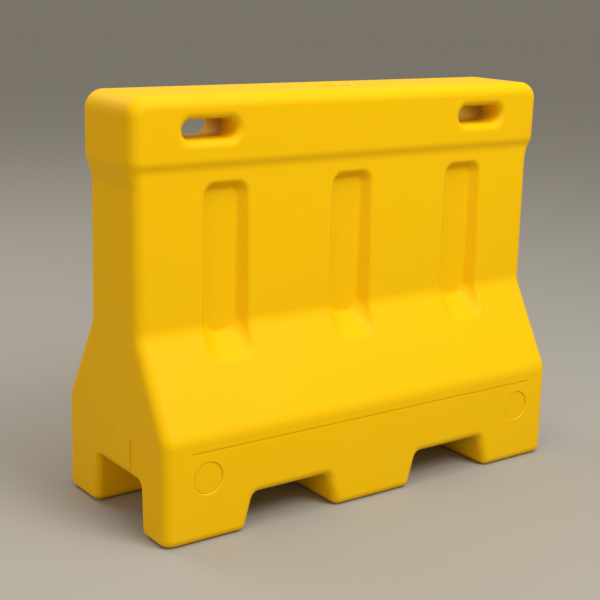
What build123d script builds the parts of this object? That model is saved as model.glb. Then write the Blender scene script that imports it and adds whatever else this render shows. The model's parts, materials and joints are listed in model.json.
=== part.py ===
"""Water-filled plastic road barrier: a hollow moulded shell, a screw fill cap and two push-in drain bungs.

The origin is on the floor under the middle of the shell. +X runs along its length, +Z up, -Y to the drains.
"""

import os
from math import atan, cos, degrees, radians, tan

from build123d import *

os.makedirs("parts", exist_ok=True)

# Shell, from the floor up. Widths are half widths along Y, lengths are half lengths along X.
wall = 6.0
height = 810.0
half_length = 499.4
foot_half_length = 486.3
wall_half_length = 489.5
foot_half_width = 195.0
slope_foot_half_width = 191.5
waist_half_width = 92.5
upper_wall_half_width = 87.5
beam_low_half_width = 94.0
beam_half_width = 95.5
slope_bottom = 202.5
slope_top = 377.0
end_chamfer_bottom = 645.0
side_chamfer_bottom = 676.0
beam_bottom = 689.0

# Edge radii of the shell.
corner_radius = 24.0
end_top_radius = 36.0
slope_foot_radius = 44.0
waist_radius = 50.0
side_chamfer_radius = 30.0
end_chamfer_radius = 45.0
arch_rim_radius = 17.0
floor_radius = 16.5

# Fork pockets, which cross under the shell along Y.
pocket_height = 70.5
pocket_inner_x = 95.0
pocket_outer_x = 310.0
pocket_side_lean = 20.0
pocket_corner_radius = 16.0

# Blind recess under each end, between the two legs of the end foot.
recess_front_y = -103.0
recess_back_y = 75.0
recess_height = 102.0
recess_depth = 118.0
recess_side_lean = 5.0
recess_corner_radius = 13.0
recess_blind_radius = 11.0

# Shallow square panels on the end faces of the four legs.
panel_front_y = -64.0
panel_back_y = 52.0
panel_top = 177.0
panel_depth = 2.2
panel_corner_radius = 6.0

# Fine raised line down the middle of each end, where the two halves of the mould meet.
bead_height = 0.6
bead_width = 2.4
bead_bottom = 130.0

# Hand slots through the beam. Part way in, each slot opens into a wider and deeper finger well.
slot_x = 333.0
slot_z = 747.0
slot_width = 116.0
slot_height = 37.0
slot_rim_radius = 15.5
well_x = 340.0
well_width = 208.0
well_top = 765.5
well_bottom = 717.5
well_start_y = -36.0
well_rim_radius = 12.0

# Upright flutes in the walls, which run out onto the slopes.
flute_pitch = 295.5
flute_width = 101.5
flute_top = 652.0
flute_mouth_height = 400.0
flute_depth = 21.0
flute_lean = 39.0
flute_corner_radius = 27.0
flute_surface_y = 90.0
flute_crease_z = 360.0
flute_exit_z = 316.0
run_out_lean = 0.59
run_out_corner_radius = 36.0
flute_crease_radius = 40.0
flute_floor_radius = 9.0
flute_rim_radius = 9.0

# Fine groove along each foot band.
groove_z = 174.5
groove_half_length = 430.0
groove_radius = 2.6
groove_depth = 1.8

# Fill port on top and its screw cap.
cap_radius = 40.0
cap_gap = 1.5
cap_height = 11.0
cap_sink = 1.0
port_ring_flange_radius = 37.0
port_ring_flange = 3.0
port_ring_radius = 33.0
port_ring_length = 26.0
gasket_inner_radius = 31.0
gasket_outer_radius = 36.5
gasket_thickness = 2.0
plug_radius = 26.5
plug_bore_radius = 21.0
plug_length = 24.0
thread_pitch = 6.0
thread_depth = 2.2
thread_clearance = 0.35
thread_turns = 3
thread_ridge_half_width = 1.8
key_recess_radius = 15.0
key_recess_depth = 6.0
key_bar_width = 9.0
boss_wall = 6.0

# Drain ports near the ends of the front foot band, and their push-in bungs.
drain_x = 393.7
drain_z = 124.0
drain_recess_radius = 30.6
drain_recess_floor_y = -186.0
bung_head_radius = 30.2
bung_head_thickness = 3.6
seal_thickness = 1.6
seal_inner_radius = 17.5
seal_outer_radius = 27.0
bush_outer_radius = 20.0
bush_bore_radius = 14.5
bush_length = 22.0
bung_stem_radius = 14.3
bung_stem_length = 20.0
port_rim_radius = 2.2

# Cutters run past the faces they cut by this much.
over = 60.0
up_from = (Align.CENTER, Align.CENTER, Align.MIN)


def band_y(up):
    """Half width of the foot band at height up."""
    return foot_half_width + (slope_foot_half_width - foot_half_width) * up / slope_bottom


def slope_y(up):
    """Half width of the sloping part of the sides at height up."""
    run = (slope_foot_half_width - waist_half_width) / (slope_top - slope_bottom)
    return waist_half_width + run * (slope_top - up)


def both_sides(points):
    """A closed outline from one half's points, listed from the bottom to the top."""
    return [(-across, up) for across, up in points] + [(across, up) for across, up in reversed(points)]


def round_corners(sketch, up, radius):
    """Rounds the corners of a sketch that lie at one height."""
    fillet(sketch.vertices().filter_by_position(Axis.Y, up - 0.5, up + 0.5), radius=radius)


def is_corner_edge(edge):
    """True for the upright edges where the long sides meet the ends."""
    return abs(edge.center().X) > foot_half_length - 30 and edge.bounding_box().size.Z > 1


def is_arch_rim(edge):
    """True for the edges round the mouths of the fork pockets and end recesses."""
    middle = edge.center()
    size = edge.bounding_box().size
    off_floor = middle.Z > 1
    pocket_rim = abs(middle.Y) > foot_half_width - 5 and size.Y < 5
    pocket_rim = pocket_rim and pocket_inner_x - 2 < abs(middle.X) < pocket_outer_x + 2
    recess_rim = abs(middle.X) > foot_half_length - 0.4 and size.X < 3
    recess_rim = recess_rim and recess_front_y - 10 < middle.Y < recess_back_y + 10
    in_pocket_height = middle.Z < pocket_height + 1
    in_recess_height = middle.Z < recess_height + 1
    return off_floor and (pocket_rim and in_pocket_height or recess_rim and in_recess_height)


def is_flute_crease(edge):
    """True for the edges where a flute's side turns to follow the slope."""
    box = edge.bounding_box().size
    return box.X > 20 and box.Y > 20 and edge.center().Z > flute_crease_z and edge.center().Z < 440


def is_run_out_corner(edge):
    """True for the lower corners of a flute, at the two sides of its ramp."""
    box = edge.bounding_box().size
    return box.X > 10 and box.Y > 20 and edge.center().Z < flute_crease_z


def long_outline(grow):
    """The shell seen from the side, with its edge moved outwards by grow."""
    with BuildSketch(Plane.XZ) as outline:
        with BuildLine():
            Polyline(
                *both_sides(
                    [
                        (foot_half_length, 0),
                        (wall_half_length, end_chamfer_bottom),
                        (half_length, beam_bottom),
                        (half_length, height),
                    ]
                ),
                close=True,
            )
        make_face()
        round_corners(outline, end_chamfer_bottom, end_chamfer_radius)
        round_corners(outline, beam_bottom, end_chamfer_radius)
        round_corners(outline, height, end_top_radius)
        offset(amount=grow, mode=Mode.REPLACE)
    return outline.sketch


def cross_outline(grow):
    """The shell seen from the end, with its edge moved outwards by grow."""
    with BuildSketch(Plane.YZ) as outline:
        with BuildLine():
            Polyline(
                *both_sides(
                    [
                        (foot_half_width, 0),
                        (slope_foot_half_width, slope_bottom),
                        (waist_half_width, slope_top),
                        (upper_wall_half_width, side_chamfer_bottom),
                        (beam_low_half_width, beam_bottom),
                        (beam_half_width, height),
                    ]
                ),
                close=True,
            )
        make_face()
        round_corners(outline, slope_bottom, slope_foot_radius)
        round_corners(outline, slope_top, waist_radius)
        round_corners(outline, side_chamfer_bottom, side_chamfer_radius)
        round_corners(outline, beam_bottom, side_chamfer_radius)
        offset(amount=grow, mode=Mode.REPLACE)
    return outline.sketch


def moulded_form(grow):
    """The shell's form with no openings, with every face moved outwards by grow."""
    from_end = cross_outline(grow)
    from_side = long_outline(grow)
    with BuildPart() as form:
        extrude(from_end, amount=half_length + over, both=True)
        extrude(from_side, amount=foot_half_width + over, both=True, mode=Mode.INTERSECT)
        top_edges = form.faces().sort_by(Axis.Z)[-1].edges().filter_by(Axis.X)
        fillet(form.edges().filter_by(is_corner_edge) + top_edges, radius=corner_radius + grow)
    return form.part


def parting_beads():
    """The fine raised lines down the ends, each with two sloping sides."""
    outline = long_outline(bead_height)
    bead_lean = degrees(atan(2 * bead_height / bead_width))
    bead_length = height - end_top_radius - bead_bottom
    with BuildPart() as beads:
        extrude(outline, amount=bead_width / 2, both=True, taper=bead_lean)
        with Locations((0, 0, bead_bottom)):
            Box(3 * half_length, over, bead_length, align=up_from, mode=Mode.INTERSECT)
        Box(2 * foot_half_length - over, over, 3 * height, mode=Mode.SUBTRACT)
    return beads.part


def fork_pockets(grow):
    """The two pockets that cross under the shell, with their walls moved outwards by grow."""
    below = pocket_side_lean * over / pocket_height
    with BuildPart() as pockets:
        with BuildSketch(Plane.XZ) as mouth:
            with BuildLine():
                Polyline(
                    (pocket_inner_x - below, -over),
                    (pocket_inner_x + pocket_side_lean, pocket_height),
                    (pocket_outer_x - pocket_side_lean, pocket_height),
                    (pocket_outer_x + below, -over),
                    close=True,
                )
            make_face()
            round_corners(mouth, pocket_height, pocket_corner_radius)
            offset(amount=grow, mode=Mode.REPLACE)
            mirror(about=Plane.YZ)
        extrude(amount=foot_half_width + over, both=True)
    return pockets.part


def end_recesses(grow):
    """The blind recesses under the two ends, with their walls moved outwards by grow."""
    below = recess_side_lean * over / recess_height
    with BuildPart() as recesses:
        with BuildSketch(Plane.YZ.offset(foot_half_length - recess_depth - grow)) as mouth:
            with BuildLine():
                Polyline(
                    (recess_front_y - below, -over),
                    (recess_front_y + recess_side_lean, recess_height),
                    (recess_back_y - recess_side_lean, recess_height),
                    (recess_back_y + below, -over),
                    close=True,
                )
            make_face()
            round_corners(mouth, recess_height, recess_corner_radius)
            offset(amount=grow, mode=Mode.REPLACE)
        extrude(amount=recess_depth + over)
        blind_face = recesses.faces().sort_by(Axis.X)[0]
        fillet(blind_face.edges().filter_by_position(Axis.Z, -over, height), radius=recess_blind_radius)
        mirror(about=Plane.YZ)
    return recesses.part


def hand_slots(grow):
    """The slots through the beam, each with the wider finger well behind it, grown by grow."""
    well_middle_z = (well_top + well_bottom) / 2
    with BuildPart() as slots:
        with BuildSketch(Plane.XZ):
            with Locations((-slot_x, slot_z), (slot_x, slot_z)):
                SlotOverall(slot_width + 2 * grow, slot_height + 2 * grow)
        extrude(amount=beam_half_width + over, both=True)
        with BuildSketch(Plane.XZ.offset(grow - well_start_y)):
            with Locations((-well_x, well_middle_z), (well_x, well_middle_z)):
                SlotOverall(well_width + 2 * grow, well_top - well_bottom + 2 * grow)
        extrude(amount=-(beam_half_width + over))
    return slots.part


def flutes(grow):
    """The three upright flutes of the front wall and the three of the back wall, grown by grow."""
    floor_y = flute_surface_y - flute_depth
    steepness = (flute_crease_z - flute_exit_z) / (slope_y(flute_exit_z) - floor_y)
    drop = grow / cos(atan(steepness))
    inner_z = flute_crease_z + steepness * over - drop
    outer_z = flute_exit_z - 2 * steepness * over - drop
    outer_y = -slope_y(flute_exit_z) - 2 * over
    run_up = (0, slope_foot_half_width - waist_half_width, slope_top - slope_bottom)
    slope_face = Plane((0, -slope_y(flute_exit_z), flute_exit_z), x_dir=(1, 0, 0), z_dir=run_up)
    mouth_middle_z = flute_top - flute_mouth_height / 2
    mouth_face = Plane((0, -flute_surface_y - over, mouth_middle_z), x_dir=(1, 0, 0), z_dir=(0, 1, 0))
    half = flute_width / 2 + grow
    spread = over * tan(radians(flute_lean))
    places = [(-flute_pitch, 0), (0, 0), (flute_pitch, 0)]
    with BuildPart() as channels:
        with BuildSketch(mouth_face):
            with Locations(*places):
                RectangleRounded(
                    2 * (half + spread),
                    flute_mouth_height + 2 * (grow + spread),
                    flute_corner_radius + grow + spread,
                )
        extrude(amount=over + flute_depth + grow, taper=flute_lean)
        with BuildSketch(slope_face.offset(-2 * over)):
            with Locations(*places):
                Polygon(
                    (-half - 4 * run_out_lean * over, -4 * over),
                    (half + 4 * run_out_lean * over, -4 * over),
                    (half - run_out_lean * over, over),
                    (-half + run_out_lean * over, over),
                    align=None,
                )
        extrude(amount=12 * over, mode=Mode.INTERSECT)
        with BuildSketch(Plane.YZ):
            with BuildLine():
                Polyline(
                    (over - floor_y, inner_z),
                    (outer_y, outer_z),
                    (outer_y, 0),
                    (over - floor_y, 0),
                    close=True,
                )
            make_face()
        extrude(amount=half_length, both=True, mode=Mode.SUBTRACT)
        fillet(channels.edges().filter_by(is_flute_crease), radius=flute_crease_radius)
        fillet(channels.edges().filter_by(is_run_out_corner), radius=run_out_corner_radius)
        floor_face_edges = channels.edges().filter_by_position(Axis.Y, -floor_y - grow - 1, 0)
        fillet(floor_face_edges, radius=flute_floor_radius)
        mirror(about=Plane.XZ)
    return channels.part


def end_panels():
    """Thin cutters for the shallow panels on the outer legs of both end faces."""
    lean = (wall_half_length - foot_half_length) / end_chamfer_bottom
    back_y = panel_back_y + over
    front_y = panel_front_y - over
    with BuildPart() as panels:
        with BuildSketch(Plane.YZ):
            with Locations((back_y, panel_top - over), (front_y, panel_top - over)):
                RectangleRounded(2 * over, 2 * over, panel_corner_radius)
        extrude(amount=half_length)
        with BuildSketch(Plane.YZ):
            with Locations((back_y, 0), (front_y, 0)):
                Rectangle(2 * over, 2 * (panel_top - over))
            with Locations((back_y + 2 * over, 0), (front_y - 2 * over, 0)):
                Rectangle(4 * over, 2 * panel_top)
        extrude(amount=half_length)
        with BuildSketch(Plane.XZ):
            with BuildLine():
                Polyline(
                    (0, -over),
                    (0, half_length),
                    (foot_half_length - panel_depth + lean * half_length, half_length),
                    (foot_half_length - panel_depth - lean * over, -over),
                    close=True,
                )
            make_face()
        extrude(amount=half_length, both=True, mode=Mode.SUBTRACT)
        mirror(about=Plane.YZ)
    return panels.part


def thread_spiral(surface_radius, rise, first_z):
    """A screw thread ridge on a cylinder about the fill port's axis. A negative rise points inwards."""
    root = -rise / thread_depth
    half_width = thread_ridge_half_width
    with BuildPart() as ridge:
        with BuildLine() as path:
            Helix(thread_pitch, thread_turns * thread_pitch, surface_radius, center=(0, 0, first_z))
        with BuildSketch(Plane(path.line @ 0, x_dir=(1, 0, 0), z_dir=path.line % 0)):
            Polygon(
                (root, -half_width),
                (rise, -half_width / 2),
                (rise, half_width / 2),
                (root, half_width),
                align=None,
            )
        sweep(is_frenet=True)
    return ridge.part


# Heights of the fill port parts, from the top of the cap downwards.
cap_bottom = height - cap_sink - cap_height
flange_top = cap_bottom - gasket_thickness
well_floor = flange_top - port_ring_flange
ring_bottom = well_floor - port_ring_length
plug_bottom = cap_bottom - plug_length
ring_bore_radius = plug_radius + thread_depth + thread_clearance
plug_thread_start = plug_bottom + thread_pitch / 2
ring_thread_start = plug_thread_start - thread_pitch / 2
well_radius = cap_radius + cap_gap

outer_form = moulded_form(0)
inner_form = moulded_form(-wall)
pocket_cut = fork_pockets(0)
pocket_walls = fork_pockets(wall)
recess_cut = end_recesses(0)
recess_walls = end_recesses(wall)
slot_cut = hand_slots(0)
slot_walls = hand_slots(wall)
flute_cut = flutes(0)
flute_walls = flutes(wall)
panel_cut = end_panels()
beads = parting_beads()
plug_thread = thread_spiral(plug_radius, thread_depth, plug_thread_start)
ring_thread = thread_spiral(ring_bore_radius, -thread_depth, ring_thread_start)

front_drains = [
    Plane((x, drain_recess_floor_y, drain_z), x_dir=(1, 0, 0), z_dir=(0, -1, 0)) for x in (-drain_x, drain_x)
]

# The tank inside the shell: the same form less the wall and less the walls of every opening.
with BuildPart() as tank:
    add(inner_form)
    for walls in (pocket_walls, recess_walls, slot_walls, flute_walls):
        add(walls, mode=Mode.SUBTRACT)
    with Locations((0, 0, well_floor - boss_wall)):
        Cylinder(well_radius + boss_wall, over, align=up_from, mode=Mode.SUBTRACT)
    with Locations((0, 0, ring_bottom)):
        Cylinder(port_ring_radius + boss_wall, over, align=up_from, mode=Mode.SUBTRACT)
    with Locations(*front_drains):
        with Locations((0, 0, -boss_wall)):
            Cylinder(drain_recess_radius + boss_wall, over, align=up_from, mode=Mode.SUBTRACT)
        with Locations((0, 0, -bush_length)):
            Cylinder(bush_outer_radius + boss_wall, over, align=up_from, mode=Mode.SUBTRACT)

with BuildPart() as barrier_shell:
    add(outer_form)
    add(pocket_cut, mode=Mode.SUBTRACT)
    add(recess_cut, mode=Mode.SUBTRACT)
    fillet(barrier_shell.edges().filter_by(is_arch_rim), radius=arch_rim_radius)
    fillet(barrier_shell.faces().filter_by_position(Axis.Z, -0.01, 0.01).edges(), radius=floor_radius)
    add(slot_cut, mode=Mode.SUBTRACT)
    slot_rims = barrier_shell.edges(Select.NEW)
    fillet(slot_rims.filter_by_position(Axis.Y, -foot_half_width, 0), radius=slot_rim_radius)
    fillet(slot_rims.filter_by_position(Axis.Y, 0, foot_half_width), radius=well_rim_radius)
    add(flute_cut, mode=Mode.SUBTRACT)
    flute_rims = barrier_shell.edges(Select.NEW)
    fillet(flute_rims, radius=flute_rim_radius)
    add(beads)
    add(panel_cut, mode=Mode.SUBTRACT)
    for side_plane in (Plane.XZ.offset(band_y(groove_z)), Plane.XZ.offset(-band_y(groove_z))):
        with BuildSketch(side_plane):
            with Locations((0, groove_z)):
                SlotOverall(2 * groove_half_length, 2 * groove_radius)
        extrude(amount=groove_depth, both=True, mode=Mode.SUBTRACT)
    with Locations(*front_drains):
        Cylinder(drain_recess_radius, over, align=up_from, mode=Mode.SUBTRACT)
    drain_rims = barrier_shell.edges(Select.NEW)
    fillet(drain_rims, radius=port_rim_radius)
    with Locations((0, 0, well_floor)):
        Cylinder(well_radius, over, align=up_from, mode=Mode.SUBTRACT)
    well_rim = barrier_shell.edges(Select.NEW)
    fillet(well_rim, radius=port_rim_radius)
    add(tank.part, mode=Mode.SUBTRACT)
    with Locations((0, 0, ring_bottom - over)):
        Cylinder(port_ring_radius, 2 * over, align=up_from, mode=Mode.SUBTRACT)
    with Locations(*front_drains):
        with Locations((0, 0, -over)):
            Cylinder(bush_outer_radius, 2 * over, align=up_from, mode=Mode.SUBTRACT)
barrier_shell.part.label = "barrier_shell"
export_step(barrier_shell.part, "parts/barrier_shell.step")

with BuildPart() as fill_port_ring:
    with Locations((0, 0, ring_bottom)):
        Cylinder(port_ring_radius, port_ring_length, align=up_from)
    with Locations((0, 0, well_floor)):
        Cylinder(port_ring_flange_radius, port_ring_flange, align=up_from)
    chamfer(fill_port_ring.faces().sort_by(Axis.Z)[0].edges(), length=1)
    with Locations((0, 0, ring_bottom)):
        Cylinder(ring_bore_radius, over, align=up_from, mode=Mode.SUBTRACT)
    add(ring_thread)
fill_port_ring.part.label = "fill_port_ring"
export_step(fill_port_ring.part, "parts/fill_port_ring.step")

with BuildPart() as fill_cap_gasket:
    with Locations((0, 0, flange_top)):
        Cylinder(gasket_outer_radius, gasket_thickness, align=up_from)
        Cylinder(gasket_inner_radius, gasket_thickness, align=up_from, mode=Mode.SUBTRACT)
fill_cap_gasket.part.label = "fill_cap_gasket"
export_step(fill_cap_gasket.part, "parts/fill_cap_gasket.step")

with BuildPart() as fill_cap:
    with Locations((0, 0, cap_bottom)):
        Cylinder(cap_radius, cap_height, align=up_from)
    fillet(fill_cap.faces().sort_by(Axis.Z)[-1].edges(), radius=1.5)
    with Locations((0, 0, plug_bottom)):
        Cylinder(plug_radius, plug_length, align=up_from)
    with Locations((0, 0, plug_bottom)):
        Cylinder(plug_bore_radius, plug_length + 3, align=up_from, mode=Mode.SUBTRACT)
    add(plug_thread)
    with BuildSketch(Plane.XY.offset(cap_bottom + cap_height)):
        Circle(key_recess_radius)
        Rectangle(2 * key_recess_radius, key_bar_width, mode=Mode.SUBTRACT)
    extrude(amount=-key_recess_depth, mode=Mode.SUBTRACT)
fill_cap.part.label = "fill_cap"
export_step(fill_cap.part, "parts/fill_cap.step")

for side_name, drain_plane in zip(("left", "right"), front_drains):
    with BuildPart(drain_plane) as drain_bush:
        with Locations((0, 0, -bush_length)):
            Cylinder(bush_outer_radius, bush_length, align=up_from)
            Cylinder(bush_bore_radius, bush_length, align=up_from, mode=Mode.SUBTRACT)
    drain_bush.part.label = "drain_bush_" + side_name
    export_step(drain_bush.part, "parts/drain_bush_" + side_name + ".step")

    with BuildPart(drain_plane) as drain_seal:
        Cylinder(seal_outer_radius, seal_thickness, align=up_from)
        Cylinder(seal_inner_radius, seal_thickness, align=up_from, mode=Mode.SUBTRACT)
    drain_seal.part.label = "drain_seal_" + side_name
    export_step(drain_seal.part, "parts/drain_seal_" + side_name + ".step")

    with BuildPart(drain_plane) as drain_bung:
        with Locations((0, 0, seal_thickness)):
            Cylinder(bung_head_radius, bung_head_thickness, align=up_from)
        fillet(drain_bung.faces().sort_by(Axis.Y)[0].edges(), radius=1)
        with Locations((0, 0, -bung_stem_length)):
            Cylinder(bung_stem_radius, bung_stem_length + seal_thickness, align=up_from)
        chamfer(drain_bung.faces().sort_by(Axis.Y)[-1].edges(), length=1.5)
    drain_bung.part.label = "drain_bung_" + side_name
    export_step(drain_bung.part, "parts/drain_bung_" + side_name + ".step")
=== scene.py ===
"""Yellow plastic road barrier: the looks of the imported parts, on a plain pale floor in soft studio light.

Lengths are in metres, lamp powers in watts, and colours in linear red, green, blue and alpha.
"""

import json
import math

import bpy
from mathutils import Matrix, Vector


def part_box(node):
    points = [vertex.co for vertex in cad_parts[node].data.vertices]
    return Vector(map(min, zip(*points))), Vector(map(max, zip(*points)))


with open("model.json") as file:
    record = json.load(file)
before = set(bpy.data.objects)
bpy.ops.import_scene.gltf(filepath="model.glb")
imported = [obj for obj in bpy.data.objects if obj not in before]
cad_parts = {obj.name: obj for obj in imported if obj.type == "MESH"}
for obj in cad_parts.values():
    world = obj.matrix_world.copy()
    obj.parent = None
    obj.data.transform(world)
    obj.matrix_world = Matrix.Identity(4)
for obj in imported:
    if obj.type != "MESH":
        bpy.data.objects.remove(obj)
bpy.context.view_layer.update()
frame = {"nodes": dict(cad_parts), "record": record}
low, high = (Vector(corner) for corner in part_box("barrier_shell"))
centre = (low + high) / 2

YELLOW = (0.86, 0.515, 0.0, 1)
AMBER = (0.80, 0.44, 0.0, 1)
DUST = (0.50, 0.36, 0.12, 1)
RUBBER_BLACK = (0.02, 0.02, 0.02, 1)
FLOOR_DARK = (0.31, 0.30, 0.28, 1)
FLOOR_LIGHT = (0.35, 0.34, 0.32, 1)

# A noise texture's values lie mostly between these two.
NOISE_LOW, NOISE_HIGH = 0.3, 0.7

# The moulded plastic. Shares are the most of a second colour that is mixed into the first.
CLOUD_SHARE = 0.12
SPECKLE_SHARE = 0.14
DUST_SHARE = 0.05
DUST_TOP = 0.16
WAVE_STRENGTH, WAVE_DEPTH = 0.25, 0.004
PEEL_STRENGTH, PEEL_DEPTH = 0.4, 0.0006
PLASTIC_SMOOTHEST, PLASTIC_ROUGHEST = 0.46, 0.56
PLASTIC_SPECULAR = 0.10
FITTING_GRAIN = 0.3
CAP_GRAIN = 0.5

RUBBER_STRENGTH, RUBBER_DEPTH = 0.15, 0.0004
RUBBER_ROUGHNESS = 0.7

# The studio. The floor runs on to the horizon.
FLOOR_SIZE = 400
FLOOR_ROUGHNESS = 0.8
LEAST_LIGHT_SHARE = 0.96
WORLD_COLOUR = (1.0, 0.92, 0.8, 1)
WORLD_STRENGTH = 0.46
LAMPS = {
    "key": {"place": (0.6, -2.8, 3.3), "size": 2.0, "power": 101, "colour": (0.98, 0.98, 0.92)},
    "top": {"place": (0.2, -1.0, 4.0), "size": 2.4, "power": 52, "colour": (1.0, 0.98, 0.93)},
    "back": {"place": (-1.2, 3.0, 3.3), "size": 2.6, "power": 46, "colour": (1.0, 0.96, 0.88)},
    "fill": {"place": (-3.1, -1.4, 1.5), "size": 1.6, "power": 20, "colour": (1.0, 0.74, 0.5)},
}

# The camera of the photograph, from a fit to the barrier's own edges.
CAMERA_PLACE = (-1.5763, -2.0581, 1.0236)
CAMERA_YAW = math.radians(53.547)
CAMERA_PITCH = math.radians(14.215)
CAMERA_ROLL = math.radians(1.672)
LENS_MM = 77.32
SENSOR_MM = 36


def fill_socket(tree, socket, value):
    """Links value to the socket if it is another node's output, and otherwise sets it there."""
    if isinstance(value, bpy.types.NodeSocket):
        tree.links.new(value, socket)
    else:
        socket.default_value = value


def node(tree, kind, inputs, **settings):
    """Adds a shader node, with settings for its own options and inputs for its sockets."""
    made = tree.nodes.new("ShaderNode" + kind)
    for name, value in settings.items():
        setattr(made, name, value)
    for name, value in inputs.items():
        fill_socket(tree, made.inputs[name], value)
    return made


def object_space(tree):
    return node(tree, "TexCoord", {}).outputs["Object"]


def noise(tree, where, scale, detail=3.0, roughness=0.55):
    inputs = {"Vector": where, "Scale": scale, "Detail": detail, "Roughness": roughness}
    return node(tree, "TexNoise", inputs).outputs["Fac"]


def ramp(tree, value, from_low, from_high, to_low=0.0, to_high=1.0):
    """Maps value from one range to another, and holds it at the ends."""
    inputs = {
        "Value": value,
        "From Min": from_low,
        "From Max": from_high,
        "To Min": to_low,
        "To Max": to_high,
    }
    return node(tree, "MapRange", inputs).outputs["Result"]


def mix(tree, share, first, second):
    """Mixes two colours. The colour sockets of a Mix node share their names with others, so go by number."""
    made = node(tree, "Mix", {"Factor": share}, data_type="RGBA")
    fill_socket(tree, made.inputs[6], first)
    fill_socket(tree, made.inputs[7], second)
    return made.outputs[2]


def bump(tree, height, strength, distance, normal=None):
    inputs = {"Height": height, "Strength": strength, "Distance": distance}
    if normal is not None:
        inputs["Normal"] = normal
    return node(tree, "Bump", inputs).outputs["Normal"]


def material(name):
    made = bpy.data.materials.new(name)
    made.use_nodes = True
    made.node_tree.nodes.clear()
    return made, made.node_tree


def finish_surface(tree, inputs):
    shader = node(tree, "BsdfPrincipled", inputs)
    node(tree, "OutputMaterial", {"Surface": shader.outputs["BSDF"]})


def moulded_plastic(name, colour, second, grain=1.0):
    """Rotomoulded plastic, coloured all through: faint clouding, fine orange peel, a little dust low down."""
    made, tree = material(name)
    where = object_space(tree)

    clouds = noise(tree, where, scale=5.0, detail=4.0)
    base = mix(tree, ramp(tree, clouds, NOISE_LOW, NOISE_HIGH, 0.0, CLOUD_SHARE), colour, second)
    speckle = noise(tree, where, scale=900.0, detail=2.0)
    base = mix(tree, ramp(tree, speckle, 0.35, 0.75, 0.0, SPECKLE_SHARE), base, second)

    height = node(tree, "SeparateXYZ", {"Vector": where}).outputs["Z"]
    low_down = ramp(tree, height, 0.0, DUST_TOP, DUST_SHARE, 0.0)
    patches = ramp(tree, noise(tree, where, scale=14.0, detail=6.0, roughness=0.65), 0.45, 0.75)
    dust = node(tree, "Math", {0: low_down, 1: patches}, operation="MULTIPLY").outputs[0]
    base = mix(tree, dust, base, DUST)

    waves = noise(tree, where, scale=7.0, detail=1.0, roughness=0.4)
    normal = bump(tree, waves, WAVE_STRENGTH * grain, WAVE_DEPTH)
    peel = noise(tree, where, scale=420.0, detail=3.0, roughness=0.5)
    normal = bump(tree, peel, PEEL_STRENGTH * grain, PEEL_DEPTH, normal)
    worn = noise(tree, where, scale=24.0, detail=4.0)

    finish_surface(
        tree,
        {
            "Base Color": base,
            "Roughness": ramp(tree, worn, NOISE_LOW, NOISE_HIGH, PLASTIC_SMOOTHEST, PLASTIC_ROUGHEST),
            "Specular IOR Level": PLASTIC_SPECULAR,
            "Normal": normal,
        },
    )
    return made


def rubber(name):
    made, tree = material(name)
    grain = noise(tree, object_space(tree), scale=600.0)
    normal = bump(tree, grain, RUBBER_STRENGTH, RUBBER_DEPTH)
    finish_surface(tree, {"Base Color": RUBBER_BLACK, "Roughness": RUBBER_ROUGHNESS, "Normal": normal})
    return made


def floor_paint(name):
    made, tree = material(name)
    patches = noise(tree, object_space(tree), scale=3.0, detail=4.0)
    share = ramp(tree, patches, NOISE_LOW, NOISE_HIGH, LEAST_LIGHT_SHARE, 1.0)
    colour = mix(tree, share, FLOOR_DARK, FLOOR_LIGHT)
    finish_surface(tree, {"Base Color": colour, "Roughness": FLOOR_ROUGHNESS})
    return made


def area_light(name, place, size, power, colour):
    """Adds a round lamp that shines at the barrier's centre."""
    data = bpy.data.lights.new(name, "AREA")
    data.shape = "DISK"
    data.size = size
    data.energy = power
    data.color = colour
    lamp = bpy.data.objects.new(name, data)
    bpy.context.collection.objects.link(lamp)
    lamp.location = place
    lamp.rotation_euler = (centre - Vector(place)).to_track_quat("-Z", "Y").to_euler()


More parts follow.
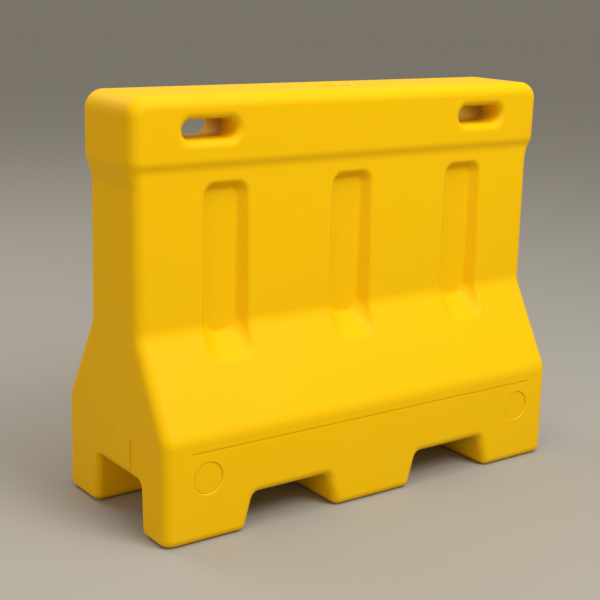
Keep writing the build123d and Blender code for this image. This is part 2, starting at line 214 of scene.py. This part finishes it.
def photo_camera():
    """Adds the camera, with its axes worked out from the yaw, pitch and roll."""
    ahead = Vector(
        (
            math.cos(CAMERA_YAW) * math.cos(CAMERA_PITCH),
            math.sin(CAMERA_YAW) * math.cos(CAMERA_PITCH),
            -math.sin(CAMERA_PITCH),
        )
    )
    level_right = Vector((math.sin(CAMERA_YAW), -math.cos(CAMERA_YAW), 0))
    level_up = level_right.cross(ahead)
    right = level_right * math.cos(CAMERA_ROLL) + level_up * math.sin(CAMERA_ROLL)
    up = level_up * math.cos(CAMERA_ROLL) - level_right * math.sin(CAMERA_ROLL)

    data = bpy.data.cameras.new("camera")
    data.lens = LENS_MM
    data.sensor_width = SENSOR_MM
    camera = bpy.data.objects.new("camera", data)
    bpy.context.collection.objects.link(camera)
    placed = Matrix((right, up, -ahead)).transposed().to_4x4()
    placed.translation = CAMERA_PLACE
    camera.matrix_world = placed
    return camera


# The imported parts, each with the finish of its material slot.
finishes = {
    "shell": moulded_plastic("shell_plastic", YELLOW, AMBER),
    "port_fittings": moulded_plastic("fitting_plastic", AMBER, YELLOW, FITTING_GRAIN),
    "cap_and_bungs": moulded_plastic("cap_plastic", YELLOW, AMBER, CAP_GRAIN),
    "seals": rubber("seal_rubber"),
}
slots = {entry["node"]: entry["material_slot"] for entry in frame["record"]["subparts"]}
for name, part in frame["nodes"].items():
    part.data.materials.clear()
    part.data.materials.append(finishes[slots[name]])
    for face in part.data.polygons:
        face.material_index = 0

# The floor and the studio.
bpy.ops.mesh.primitive_plane_add(size=FLOOR_SIZE, location=(centre.x, centre.y, low.z))
floor = bpy.context.object
floor.name = "studio_floor"
floor.data.materials.append(floor_paint("floor_finish"))

# The standard view keeps the yellow as strong as it is set.
scene = bpy.context.scene
scene.view_settings.view_transform = "Standard"
scene.world = bpy.data.worlds.new("studio")
scene.world.use_nodes = True
background = scene.world.node_tree.nodes["Background"]
background.inputs["Color"].default_value = WORLD_COLOUR
background.inputs["Strength"].default_value = WORLD_STRENGTH
for name, settings in LAMPS.items():
    area_light(name, **settings)
scene.camera = photo_camera()
